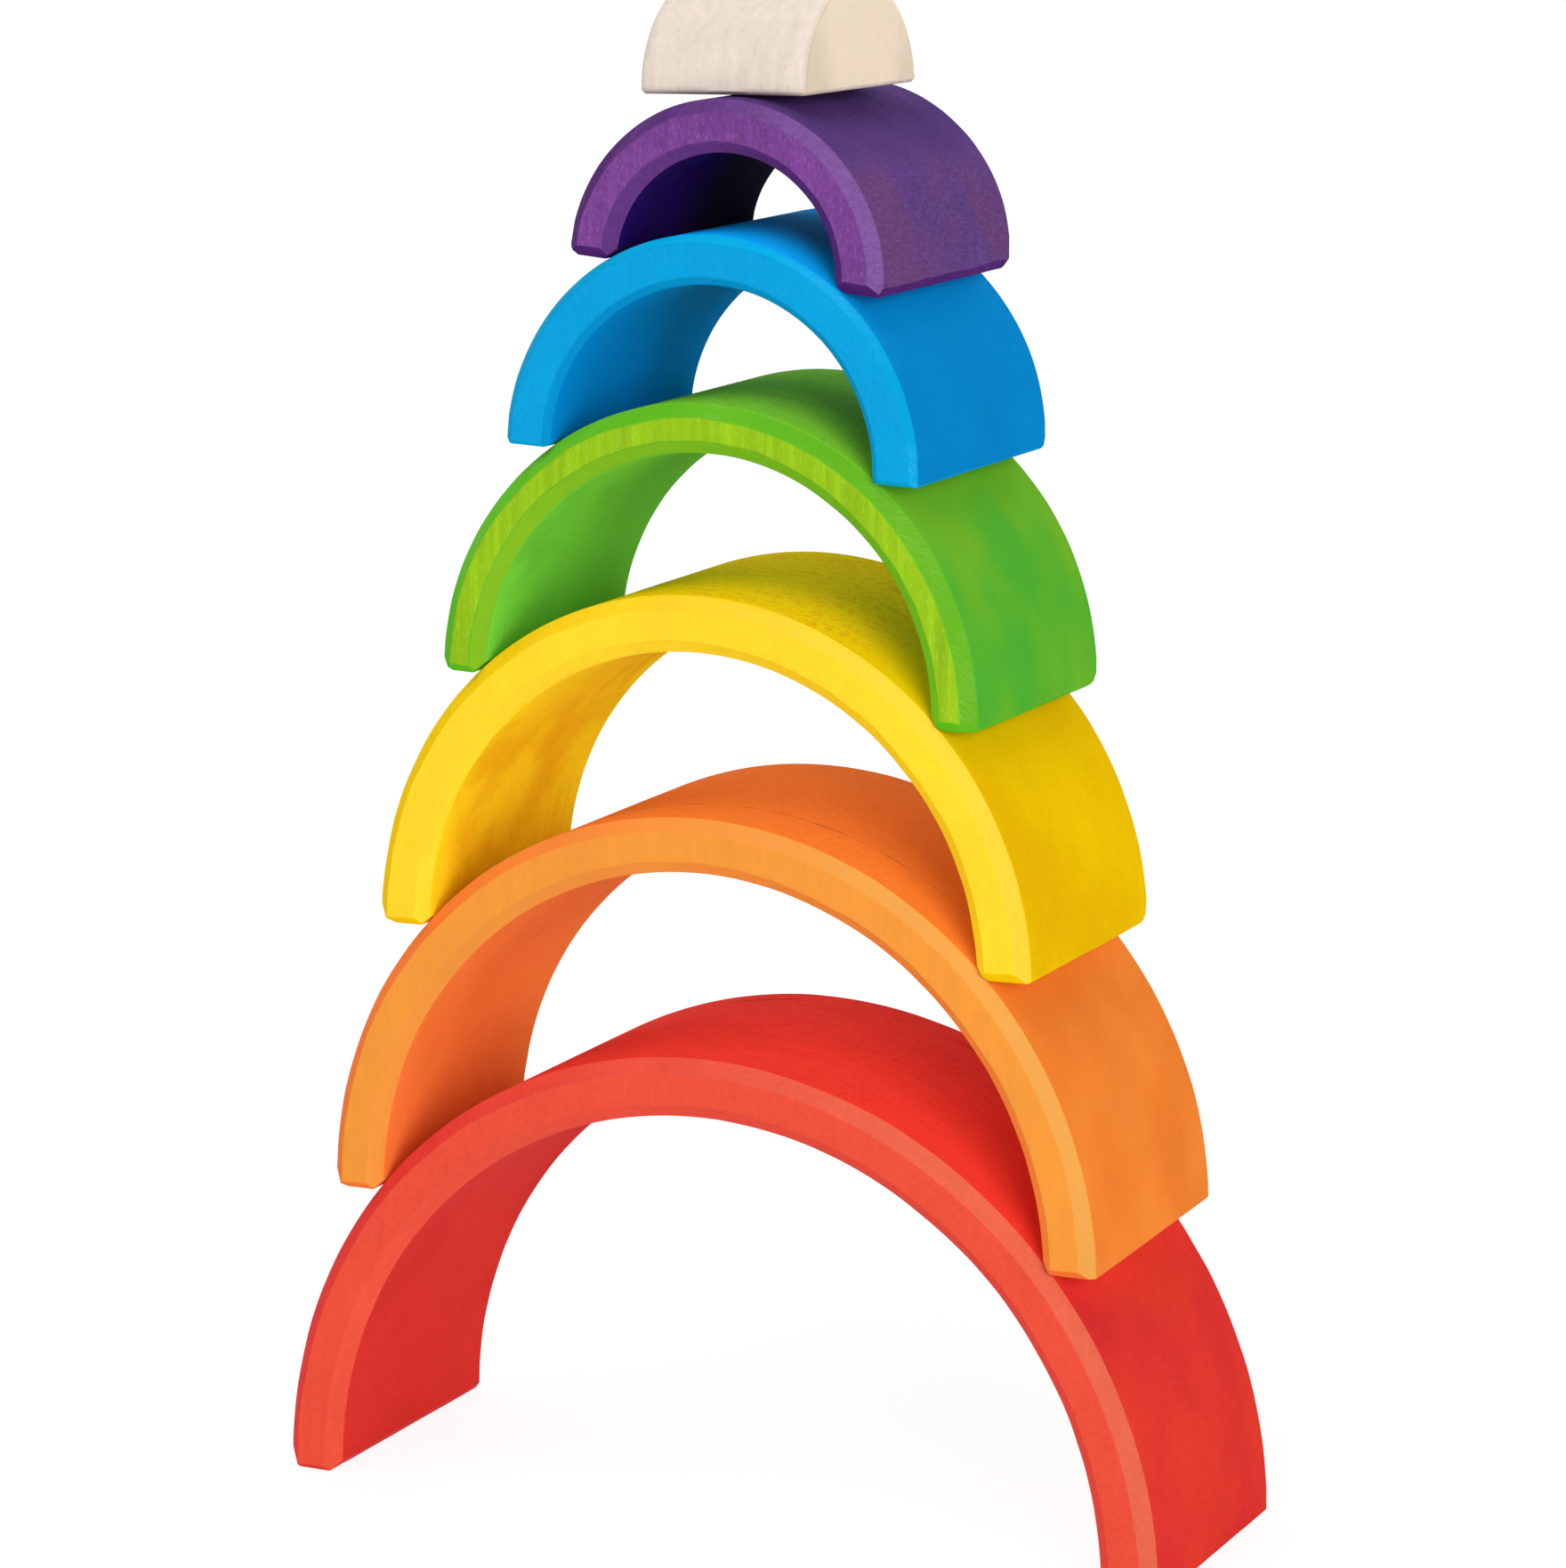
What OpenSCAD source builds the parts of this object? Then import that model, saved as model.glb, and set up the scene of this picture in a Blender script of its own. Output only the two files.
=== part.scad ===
// Rainbow stacker: six half-round arches and the half-round block left inside the smallest one,
// all sawn from one blank of wood. They stand here as a tower. Each arch sits astride the crown
// of the arch below, on the inner edges of its two feet, and the block lies across the top crown.
// Millimetres, +Z up. The origin is on the floor, under the middle of the red arch.

/* [Whole set] */
// Depth of the arches, from front face to back face
depth = 57.5; // [45:0.5:80]
// Air left between a piece and the crown that carries it
seat_gap = 0.2; // [0.1:0.05:0.8]

/* [Red arch] */
// Thickness of the red arch
red_wall = 10.9; // [8:0.1:14]
// Saw gap inside the red arch
red_kerf = 0.6; // [0.4:0.1:3]
// Chamfer along the curved edges of the red arch
red_edge = 2.6; // [0.5:0.1:3.4]
// Chamfer around the feet of the red arch
red_foot = 1.8; // [0.4:0.1:3]

/* [Orange arch] */
// Thickness of the orange arch
orange_wall = 10.1; // [8:0.1:14]
// Saw gap inside the orange arch
orange_kerf = 1.5; // [0.4:0.1:3]
// Chamfer along the curved edges of the orange arch
orange_edge = 2.3; // [0.5:0.1:3.4]
// Chamfer around the feet of the orange arch
orange_foot = 2.6; // [0.4:0.1:3]
// Tilt of the orange arch around the red crown, towards +X
orange_lean = -0.6; // [-4:0.1:4]

/* [Yellow arch] */
// Thickness of the yellow arch
yellow_wall = 10.3; // [8:0.1:14]
// Saw gap inside the yellow arch
yellow_kerf = 1.6; // [0.4:0.1:3]
// Chamfer along the curved edges of the yellow arch
yellow_edge = 2.4; // [0.5:0.1:3.4]
// Chamfer around the feet of the yellow arch
yellow_foot = 2.4; // [0.4:0.1:3]
// Tilt of the yellow arch around the orange crown, towards +X
yellow_lean = -0.4; // [-4:0.1:4]

/* [Green arch] */
// Thickness of the green arch
green_wall = 8.9; // [7:0.1:12]
// Saw gap inside the green arch
green_kerf = 3.6; // [0.4:0.1:5]
// Chamfer along the curved edges of the green arch
green_edge = 2.5; // [0.5:0.1:3]
// Chamfer around the feet of the green arch
green_foot = 2; // [0.4:0.1:3]
// Tilt of the green arch around the yellow crown, towards +X
green_lean = 3; // [-4:0.1:4]

/* [Blue arch] */
// Thickness of the blue arch
blue_wall = 8.8; // [7:0.1:12]
// Saw gap inside the blue arch
blue_kerf = 0.8; // [0.4:0.1:3]
// Chamfer along the curved edges of the blue arch
blue_edge = 1.4; // [0.5:0.1:3]
// Chamfer around the feet of the blue arch
blue_foot = 0.8; // [0.4:0.1:3]
// Tilt of the blue arch around the green crown, towards +X
blue_lean = 0.4; // [-4:0.1:4]

/* [Purple arch] */
// Thickness of the purple arch
purple_wall = 9.3; // [7:0.1:12]
// Saw gap between the purple arch and the block
purple_kerf = 1.9; // [0.4:0.1:3]
// Chamfer along the curved edges of the purple arch
purple_edge = 2.2; // [0.5:0.1:3]
// Chamfer around the feet of the purple arch
purple_foot = 1.9; // [0.4:0.1:3]
// Tilt of the purple arch around the blue crown, towards +X
purple_lean = 2.5; // [-4:0.1:4]

/* [Half-round block] */
// Radius of the block, from which the arches are counted outwards
block_r = 19.2; // [14:0.2:30]
// Length of the block between its flat ends
block_length = 33.5; // [24:0.5:50]
// Chamfer along the edges of the block
block_edge = 0.9; // [0.3:0.1:2]
// Tilt of the block around the purple crown, towards +X
block_lean = -6.2; // [-8:0.1:4]
// Turn of the block's length from the X axis
block_turn = -5; // [-20:1:20]
// Place of the block along the purple crown, towards the back
block_shift = -3.4; // [-8:0.2:8]

/* [Hidden] */
$fn = 180;
NODES = ["red_arch", "orange_arch", "yellow_arch", "green_arch", "blue_arch", "purple_arch",
         "half_round_block"];

// Levels of the tower, counted from the floor
function level_of(name) = search([name], NODES)[0];
RED = level_of("red_arch");
ORANGE = level_of("orange_arch");
YELLOW = level_of("yellow_arch");
GREEN = level_of("green_arch");
BLUE = level_of("blue_arch");
PURPLE = level_of("purple_arch");
BLOCK = level_of("half_round_block");

// The sizes of each level, in the order of the levels
walls = [red_wall, orange_wall, yellow_wall, green_wall, blue_wall, purple_wall];
kerfs = [red_kerf, orange_kerf, yellow_kerf, green_kerf, blue_kerf, purple_kerf];
edges = [red_edge, orange_edge, yellow_edge, green_edge, blue_edge, purple_edge];
feet = [red_foot, orange_foot, yellow_foot, green_foot, blue_foot, purple_foot];
leans = [0, orange_lean, yellow_lean, green_lean, blue_lean, purple_lean, block_lean];

// How far a cutter stands past the faces that it cuts
overcut = 1;

// Outer radius of a level
function outer_r(level) = level == BLOCK ? block_r : inner_r(level) + walls[level];
// Inner radius of an arch: the piece that nests inside it, and the saw gap around that piece
function inner_r(level) = outer_r(level + 1) + kerfs[level];

// Height of an arch's base over the centre of the crown below, where the chamfered inner edge of
// its feet first meets that crown: on the chamfer's upper arris, its lower arris or its flat
function seat_rise(crown, inner, foot) =
    let (upper = sqrt(crown * crown - inner * inner) - foot,
         lower = sqrt(crown * crown - pow(inner + foot, 2)),
         tangent = crown / sqrt(2),
         on_flat = tangent > inner && tangent < inner + foot)
    max(upper, lower, on_flat ? 2 * tangent - inner - foot : 0);
// Height of a level's base over the centre of the arch that carries it
function rise(level) =
    let (crown = outer_r(level - 1) + seat_gap)
    level == BLOCK ? crown : seat_rise(crown, inner_r(level), feet[level]);

// Puts its children where a level of the tower stands, each tilted around the crown below
module stacked(level) {
    if (level == RED)
        children();
    else
        stacked(level - 1)
            rotate([0, leans[level], 0])
                translate([0, 0, rise(level)])
                    children();
}

// Bar of square section, set on its edge along Y, that cuts a chamfer of the given size
module chamfer_bar(size, length) {
    rotate([0, 45, 0])
        cube([size * sqrt(2), length + 2 * overcut, size * sqrt(2)], center = true);
}

// Section of an arch through its crown: X is the radius, Y the depth
module arch_section(outer, inner, edge) {
    half = depth / 2;
    polygon([
        [inner + edge, -half], [outer - edge, -half],
        [outer, edge - half], [outer, half - edge],
        [outer - edge, half], [inner + edge, half],
        [inner, half - edge], [inner, edge - half]
    ]);
}

// Half ring standing on its two feet, with chamfers along its curves and around its feet
module arch(level) {
    outer = outer_r(level);
    inner = inner_r(level);
    foot = feet[level];
    difference() {
        rotate([90, 0, 0])
            rotate_extrude(angle = 180)
                arch_section(outer, inner, edges[level]);
        for (side = [-1, 1]) {
            for (radius = [inner, outer])
                translate([side * radius, 0, 0])
                    chamfer_bar(foot, depth);
            translate([0, side * depth / 2, 0])
                rotate([0, 0, 90])
                    chamfer_bar(foot, 2 * outer);
        }
    }
}

// Half-round core, its length along X, with chamfers around its ends and its base
module half_round() {
    radius = outer_r(BLOCK);
    half = block_length / 2;
    difference() {
        rotate([0, 0, 90])
            rotate([90, 0, 0])
                rotate_extrude(angle = 180)
                    polygon([
                        [0, -half], [radius - block_edge, -half],
                        [radius, block_edge - half], [radius, half - block_edge],
                        [radius - block_edge, half], [0, half]
                    ]);
        for (side = [-1, 1]) {
            translate([side * half, 0, 0])
                chamfer_bar(block_edge, 2 * radius);
            translate([0, side * radius, 0])
                rotate([0, 0, 90])
                    chamfer_bar(block_edge, block_length);
        }
    }
}

module red_arch() { color("#e23b32") stacked(RED) arch(RED); }
module orange_arch() { color("#ee8334") stacked(ORANGE) arch(ORANGE); }
module yellow_arch() { color("#f5c916") stacked(YELLOW) arch(YELLOW); }
module green_arch() { color("#5fb432") stacked(GREEN) arch(GREEN); }
module blue_arch() { color("#128ed2") stacked(BLUE) arch(BLUE); }
module purple_arch() { color("#6b3f8c") stacked(PURPLE) arch(PURPLE); }
module half_round_block() {
    color("#e6d8c4")
        stacked(BLOCK)
            translate([0, block_shift, 0])
                rotate([0, 0, block_turn])
                    half_round();
}

red_arch();
orange_arch();
yellow_arch();
green_arch();
blue_arch();
purple_arch();
half_round_block();
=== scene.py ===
# %% [markdown]
# # A rainbow stacker in stained limewood
# The toy is six half-round arches and the half-round core that is left inside the smallest one, all
# sawn from one block of limewood. Here they stand as a tower, each arch astride the crown of the one
# below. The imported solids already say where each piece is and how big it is. This lesson makes each
# piece again as a mesh that a sander has been over, and gives it stain, grain and worn edges.

# %% Load the frame
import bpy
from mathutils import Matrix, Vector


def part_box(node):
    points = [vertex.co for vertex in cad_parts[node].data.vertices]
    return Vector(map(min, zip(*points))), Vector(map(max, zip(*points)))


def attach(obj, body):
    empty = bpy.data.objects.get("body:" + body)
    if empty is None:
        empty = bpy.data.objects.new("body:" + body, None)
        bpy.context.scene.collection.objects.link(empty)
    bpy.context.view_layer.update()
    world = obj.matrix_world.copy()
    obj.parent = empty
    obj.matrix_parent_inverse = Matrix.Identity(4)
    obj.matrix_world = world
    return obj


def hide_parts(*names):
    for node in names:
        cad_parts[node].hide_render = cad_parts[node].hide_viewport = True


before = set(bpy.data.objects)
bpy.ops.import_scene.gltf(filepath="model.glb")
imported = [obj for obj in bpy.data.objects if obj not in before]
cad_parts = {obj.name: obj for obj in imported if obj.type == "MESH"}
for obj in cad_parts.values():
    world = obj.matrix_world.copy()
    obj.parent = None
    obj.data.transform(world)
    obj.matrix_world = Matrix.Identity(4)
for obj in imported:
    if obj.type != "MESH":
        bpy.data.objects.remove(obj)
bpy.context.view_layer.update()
print("nodes:", sorted(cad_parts))

# %% Tools for the lesson
import math
from collections import namedtuple

import bmesh
import bpy
from mathutils import Matrix, Vector, noise

MM = 0.001

# %% [markdown]
# ## The camera
# The photograph was taken from in front and to the right, a little above the middle of the tower,
# with a long lens from about a metre away. A camera can be aimed with a constraint, but a plain
# matrix is easier to read back: turn about the upright axis, tip down, then roll a hair.

# %% Camera
AIM = Vector((0.5, 4.3, 131.8)) * MM
DISTANCE = 972.7 * MM
AZIMUTH = math.radians(26.04)
ELEVATION = math.radians(11.53)
ROLL = math.radians(-0.2)
LENS = 123.56

turn = Matrix.Rotation(AZIMUTH, 4, "Z")
tip = Matrix.Rotation(math.pi / 2 - ELEVATION, 4, "X")
roll = Matrix.Rotation(ROLL, 4, "Z")
step_back = Matrix.Translation((0, 0, DISTANCE))
camera_data = bpy.data.cameras.new("photo_camera")
camera_data.lens = LENS
camera = bpy.data.objects.new("photo_camera", camera_data)
camera.matrix_world = Matrix.Translation(AIM) @ turn @ tip @ roll @ step_back
bpy.context.scene.collection.objects.link(camera)
bpy.context.scene.camera = camera
print("camera at", [round(value, 4) for value in camera.matrix_world.translation])

# %% [markdown]
# ## Where each arch stands
# Every arch leans a little, because it sits by hand on the round back of the arch below. The packed
# solid holds that lean in its two soles, which lie in one tilted plane. The middle of that plane is
# the centre of the arch's circles, so the farthest and nearest points from it give both radii.

# %% Measure an arch
ARCH_NAMES = ["red_arch", "orange_arch", "yellow_arch", "green_arch", "blue_arch", "purple_arch"]
Arch = namedtuple("Arch", "centre tilt outer inner depth")
SQUARELY = 0.95


def measured_arch(name):
    """Centre, tilt, radii and depth of a packed arch."""
    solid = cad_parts[name].data
    low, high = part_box(name)
    third = low.z + (high.z - low.z) / 3
    soles = [face for face in solid.polygons if face.normal.z < -SQUARELY and face.center.z < third]
    corners = [solid.vertices[index].co for face in soles for index in face.vertices]
    left = min(corners, key=lambda corner: corner.x)
    right = max(corners, key=lambda corner: corner.x)
    tilt = math.atan2(left.z - right.z, right.x - left.x)
    centre = Vector(((left.x + right.x) / 2, (low.y + high.y) / 2, (left.z + right.z) / 2))
    reach = [math.hypot(point.co.x - centre.x, point.co.z - centre.z) for point in solid.vertices]
    return Arch(centre, tilt, max(reach), min(reach), high.y - low.y)


arches = {name: measured_arch(name) for name in ARCH_NAMES}
for name, arch in arches.items():
    radii = (round(arch.outer / MM, 2), round(arch.inner / MM, 2))
    print(name, "radii", radii, "tilt", round(math.degrees(arch.tilt), 2))

# %% [markdown]
# ## The blank of an arch
# A real arch is sawn out of a block in two curved cuts. In a mesh the same shape is one rectangle of
# wood spun half a turn. The first and the last step of the spin are kept longer than the rest, so
# that the chamfer around each foot has room on its neighbours. A trial blank of the red arch is taken
# through each step below, to see what the step does.

# %% Spin a blank
SPIN_STEPS = 120
HEEL = 4 * MM


def arch_blank(arch):
    """Half ring with square edges, standing on the floor, its crown at +Z."""
    blank = bmesh.new()
    inner, outer, half = arch.inner, arch.outer, arch.depth / 2
    corners = [(inner, -half, 0), (outer, -half, 0), (outer, half, 0), (inner, half, 0)]
    section = blank.faces.new([blank.verts.new(corner) for corner in corners])
    heel = HEEL / inner
    swept = list(section.verts) + list(section.edges) + [section]
    for angle, steps in ((heel, 1), (math.pi - 2 * heel, SPIN_STEPS), (heel, 1)):
        spun = bmesh.ops.spin(blank, geom=swept, cent=(0, 0, 0), axis=(0, -1, 0), angle=angle, steps=steps)
        swept = spun["geom_last"]
    bmesh.ops.recalc_face_normals(blank, faces=blank.faces)
    return blank


def open_edges(blank):
    """Number of edges that don't join exactly two faces."""
    return sum(not edge.is_manifold for edge in blank.edges)


trial_arch = arches["red_arch"]
trial = arch_blank(trial_arch)
print("a plain blank:", len(trial.faces), "faces,", open_edges(trial), "open edges")

# %% [markdown]
# ## Sizes of the cuts
# Every arch went over the sander by hand, so each has its own chamfers, and each foot its own trim
# and cut corners. The steps could be written out for each arch, but a table lets all six share them.
# All its sizes are in millimetres. A corner is cut off so far up, across the foot and along it.

# %% Table of cuts
FRONT = -1
BACK = 1
LEFT = -1
RIGHT = 1
Foot = namedtuple("Foot", "chamfer front_trim back_trim")
Corner = namedtuple("Corner", "side end rise across along")
Cuts = namedtuple("Cuts", "curve seat outside wander arris left right corners")
CUTS = {
    "red_arch": Cuts(
        curve=2.6, seat=1.8, outside=(0.4, 0.4), wander=0.22, arris=0.35,
        left=Foot(chamfer=0.8, front_trim=0, back_trim=0),
        right=Foot(chamfer=1.0, front_trim=0, back_trim=0),
        corners=[Corner(LEFT, FRONT, rise=3.2, across=2.2, along=10)],
    ),
    "orange_arch": Cuts(
        curve=2.3, seat=2.6, outside=(0.5, 0.5), wander=0.24, arris=0.35,
        left=Foot(chamfer=1.1, front_trim=1.1, back_trim=1.1),
        right=Foot(chamfer=1.5, front_trim=0.5, back_trim=1.8),
        corners=[
            Corner(LEFT, FRONT, rise=3.2, across=1.9, along=10),
            Corner(LEFT, FRONT, rise=1.3, across=2.7, along=10),
        ],
    ),
    "yellow_arch": Cuts(
        curve=2.4, seat=2.4, outside=(0.6, 0.6), wander=0.26, arris=0.40,
        left=Foot(chamfer=1.5, front_trim=1.0, back_trim=1.0),
        right=Foot(chamfer=2.0, front_trim=0, back_trim=0.4),
        corners=[
            Corner(LEFT, FRONT, rise=3.6, across=2.0, along=10),
            Corner(LEFT, FRONT, rise=1.5, across=3.4, along=10),
            Corner(RIGHT, BACK, rise=3.4, across=3.0, along=1.1),
            Corner(RIGHT, BACK, rise=1.4, across=3.0, along=2.8),
        ],
    ),
    "green_arch": Cuts(
        curve=2.5, seat=2.0, outside=(0.9, 0.9), wander=0.24, arris=0.40,
        left=Foot(chamfer=1.3, front_trim=0, back_trim=0),
        right=Foot(chamfer=1.9, front_trim=0, back_trim=0),
        corners=[
            Corner(LEFT, FRONT, rise=2.1, across=2.2, along=10),
            Corner(RIGHT, BACK, rise=2.2, across=3.0, along=2.2),
            Corner(RIGHT, FRONT, rise=1.5, across=3.0, along=2.4),
        ],
    ),
    "blue_arch": Cuts(
        curve=1.4, seat=0.8, outside=(0.4, 0.4), wander=0.14, arris=0.30,
        left=Foot(chamfer=0.6, front_trim=0, back_trim=0),
        right=Foot(chamfer=0.9, front_trim=0, back_trim=0),
        corners=[
            Corner(LEFT, FRONT, rise=1.1, across=1.2, along=8),
            Corner(RIGHT, BACK, rise=2.0, across=3.0, along=0.9),
            Corner(RIGHT, BACK, rise=0.9, across=3.0, along=2.0),
        ],
    ),
    "purple_arch": Cuts(
        curve=2.2, seat=1.9, outside=(1.1, 2.2), wander=0.28, arris=0.30,
        left=Foot(chamfer=1.9, front_trim=0, back_trim=0),
        right=Foot(chamfer=2.2, front_trim=0, back_trim=0),
        corners=[
            Corner(LEFT, FRONT, rise=1.6, across=1.9, along=8),
            Corner(RIGHT, BACK, rise=2.0, across=3.0, along=0.9),
            Corner(RIGHT, BACK, rise=0.9, across=3.0, along=2.0),
        ],
    ),
}
trial_cuts = CUTS["red_arch"]
print("cut corners:", {name: len(cuts.corners) for name, cuts in CUTS.items()})

# %% [markdown]
# ## Chamfers along the curves
# Each arch has a flat chamfer along its four curved edges. A chamfer is a bevel with one segment.
# The long strips that are left need more points before a sander can make them uneven, so they are
# divided next: across the depth of the arch, and across the width of its front.

# %% Chamfer the curves
SHARP_DEGREES = 60
DEPTH_CUTS = 17
FRONT_CUTS = 3
LEAST_WIDTH = 1 * MM
SOLE = 0.01 * MM


def corner_edges(blank, least_degrees):
    """Edges where two faces meet at this angle or more."""
    least = math.radians(least_degrees)
    return [edge for edge in blank.edges if edge.calc_face_angle(0) > least]


def bevel(blank, edges, size, segments):
    return bmesh.ops.bevel(
        blank, geom=edges, offset=size, offset_type="OFFSET", affect="EDGES",
        segments=segments, profile=0.5, material=-1, clamp_overlap=True,
    )


def chamfer_curves(blank, size):
    def off_sole(edge):
        return any(vertex.co.z > SOLE for vertex in edge.verts)

    bevel(blank, [edge for edge in corner_edges(blank, SHARP_DEGREES) if off_sole(edge)], size, 1)


def divide_strips(blank, depth):
    def along_depth(edge):
        return abs(edge.verts[0].co.y - edge.verts[1].co.y) > depth / 2

    def across_front(edge):
        first, second = (math.hypot(vertex.co.x, vertex.co.z) for vertex in edge.verts)
        on_front = all(abs(vertex.co.y) > depth / 2 - SOLE for vertex in edge.verts)
        return on_front and abs(first - second) > LEAST_WIDTH

    long_edges = [edge for edge in blank.edges if along_depth(edge)]
    bmesh.ops.subdivide_edges(blank, edges=long_edges, cuts=DEPTH_CUTS, use_grid_fill=True)
    short_edges = [edge for edge in blank.edges if across_front(edge)]
    bmesh.ops.subdivide_edges(blank, edges=short_edges, cuts=FRONT_CUTS, use_grid_fill=True)


chamfer_curves(trial, trial_cuts.curve * MM)
divide_strips(trial, trial_arch.depth)
print("chamfered and divided:", len(trial.faces), "faces,", open_edges(trial), "open edges")

# %% [markdown]
# ## Feet
# The feet were held against a sander one edge at a time, so each has its own small facets. Some soles
# are trimmed, and around each sole run a chamfer in front, another at the back, a narrow one outside,
# and a wider one inside where the foot rides on the crown below. Last, corners are cut off. A bevel
# would wrap round the corners and blunt them. A plane that cuts the mesh and is then closed leaves
# the pointed tips that the toy shows.

# %% Shave the feet
FOOT_REACH = 14 * MM
NIB = 0.15 * MM


def shave(blank, side, point, normal):
    """Cuts off one foot's wood beyond a plane, and closes the cut."""
    faces = []
    for face in blank.faces:
        middle = face.calc_center_median()
        if middle.x * side > 0 and middle.z < FOOT_REACH:
            faces.append(face)
    edges = {edge for face in faces for edge in face.edges}
    vertices = {vertex for face in faces for vertex in face.verts}
    parts = faces + list(edges) + list(vertices)
    cut = bmesh.ops.bisect_plane(
        blank, geom=parts, dist=SOLE, plane_co=point, plane_no=normal, clear_outer=True,
    )
    rim = [item for item in cut["geom_cut"] if isinstance(item, bmesh.types.BMEdge)]
    bmesh.ops.edgeloop_fill(blank, edges=rim)


def shave_feet(blank, arch, cuts):
    """Trims the soles, chamfers their edges, takes off their corners and merges tiny nibs."""
    half = arch.depth / 2
    across, rise = cuts.outside
    for side, foot in ((LEFT, cuts.left), (RIGHT, cuts.right)):
        slope = (foot.back_trim - foot.front_trim) * MM / arch.depth
        if foot.back_trim > 0:
            shave(blank, side, (0, -half, foot.front_trim * MM), (0, slope, -1))
        shave(blank, side, (side * (arch.inner + cuts.seat * MM), 0, 0), (-side, 0, -1))
        shave(blank, side, (side * (arch.outer - across * MM), 0, 0), (side * rise, 0, -across))
        shave(blank, side, (0, foot.chamfer * MM - half, foot.front_trim * MM), (0, -1, -1))
        shave(blank, side, (0, half - foot.chamfer * MM, foot.back_trim * MM), (0, 1, -1))
    for corner in cuts.corners:
        foot = cuts.left if corner.side == LEFT else cuts.right
        trim = foot.front_trim if corner.end == FRONT else foot.back_trim
        tip = Vector((corner.side * arch.outer, corner.end * (half - cuts.curve * MM), trim * MM))
        start = tip - Vector((corner.side * corner.across * MM, 0, 0))
        normal = Vector((corner.side / corner.across, corner.end / corner.along, -1 / corner.rise))
        shave(blank, corner.side, start, normal)
    bmesh.ops.remove_doubles(blank, verts=blank.verts, dist=NIB)


shave_feet(trial, trial_arch, trial_cuts)
print("feet shaved:", len(trial.faces), "faces,", open_edges(trial), "open edges")

# %% [markdown]
# ## The sander's hand
# No chamfer on the toy is quite even: its width wanders, most of all around the feet. Each point of
# a chamfer's border slides within the flat beside it, by a little noise. Then every border is rounded
# over with a narrow bevel, and the whole skin is lowered by up to a tenth of a millimetre or so.

# %% Sand the piece
ARRIS_DEGREES = 14
ARRIS_SEGMENTS = 2
FOLD = 0.05 * MM
FLAT_ENOUGH = 0.97
WANDER_SCALE = 70
RIPPLE_SCALE = 210
RIPPLE_SHARE = 0.6
HOLLOW_SCALE = 45
SKIN = 0.12 * MM


def is_flat(face):
    """True for a front, a sole or a curved side, and false for a chamfer."""
    middle = face.calc_center_median()
    outward = Vector((middle.x, 0, middle.z)).normalized()
    parts = (abs(face.normal.y), -face.normal.z, abs(face.normal.dot(outward)))
    return max(parts) > FLAT_ENOUGH


def slide_borders(blank, wander, seed):
    """Moves the borders of the chamfers within the flats beside them."""
    moves = {}
    for edge in corner_edges(blank, ARRIS_DEGREES):
        flats = [face for face in edge.link_faces if is_flat(face)]
        if len(flats) != 1:
            continue
        along = (edge.verts[1].co - edge.verts[0].co).normalized()
        way = flats[0].normal.cross(along).normalized()
        if way.dot(flats[0].calc_center_median() - edge.verts[0].co) < 0:
            way.negate()
        for vertex in edge.verts:
            moves.setdefault(vertex, []).append(way)
    for vertex, ways in moves.items():
        place = vertex.co + Vector((seed, 0, 0))
        amount = noise.noise(place * WANDER_SCALE) + RIPPLE_SHARE * noise.noise(place * RIPPLE_SCALE)
        vertex.co += sum(ways, Vector()) / len(ways) * amount * wander


def round_arrises(blank, radius):
    """Rounds every border, and merges the tiny folds where borders meet."""
    rounded = bevel(blank, corner_edges(blank, ARRIS_DEGREES), radius, ARRIS_SEGMENTS)
    worn = set(rounded["verts"])
    bmesh.ops.remove_doubles(blank, verts=blank.verts, dist=FOLD)
    return worn


def lower_skin(blank, amount, seed):
    """Lowers the skin unevenly, and never raises it."""
    bmesh.ops.recalc_face_normals(blank, faces=blank.faces)
    for vertex in blank.verts:
        place = vertex.co + Vector((0, seed, 0))
        hollow = 0.5 + 0.5 * noise.noise(place * HOLLOW_SCALE)
        vertex.co -= vertex.normal * amount * hollow


slide_borders(trial, trial_cuts.wander * MM, 0)
trial_worn = round_arrises(trial, trial_cuts.arris * MM)
lower_skin(trial, SKIN, 0)
print("sanded:", len(trial.faces), "faces,", open_edges(trial), "open edges")

# %% [markdown]
# ## Marks that the finish will read
# Stain takes differently on the flat front, on the chamfers, on the curved outside and on the inside,
# and it wears off along the edges. One mark says how far a face turns right: the finish paints
# highlight where it does and shade where it turns left. The finish could guess that from the normal,
# but marks written on the mesh stay put when the piece leans. Each point also keeps its place along
# the arch, as if the arch were rolled out flat, so that scratches can follow the curve.

# %% Write the marks
FRONT_TILT = (0.75, 1.0)
CHAMFER_TILT = math.sqrt(0.5)
CHAMFER_SPREAD = 0.3
CHAMFER_EDGE = (0.05, 0.25)
LIGHT_SIDE_LIMITS = (-0.55, 0.35)
CROWN_POWER = 5
SOLE_HEIGHT = 4 * MM
FACES_DOWN = -0.3
UNDER_FOOT = 0.45


def share(value, low, high):
    """Where a value lies between two limits, from 0 to 1."""
    return min(1.0, max(0.0, (value - low) / (high - low)))


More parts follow.
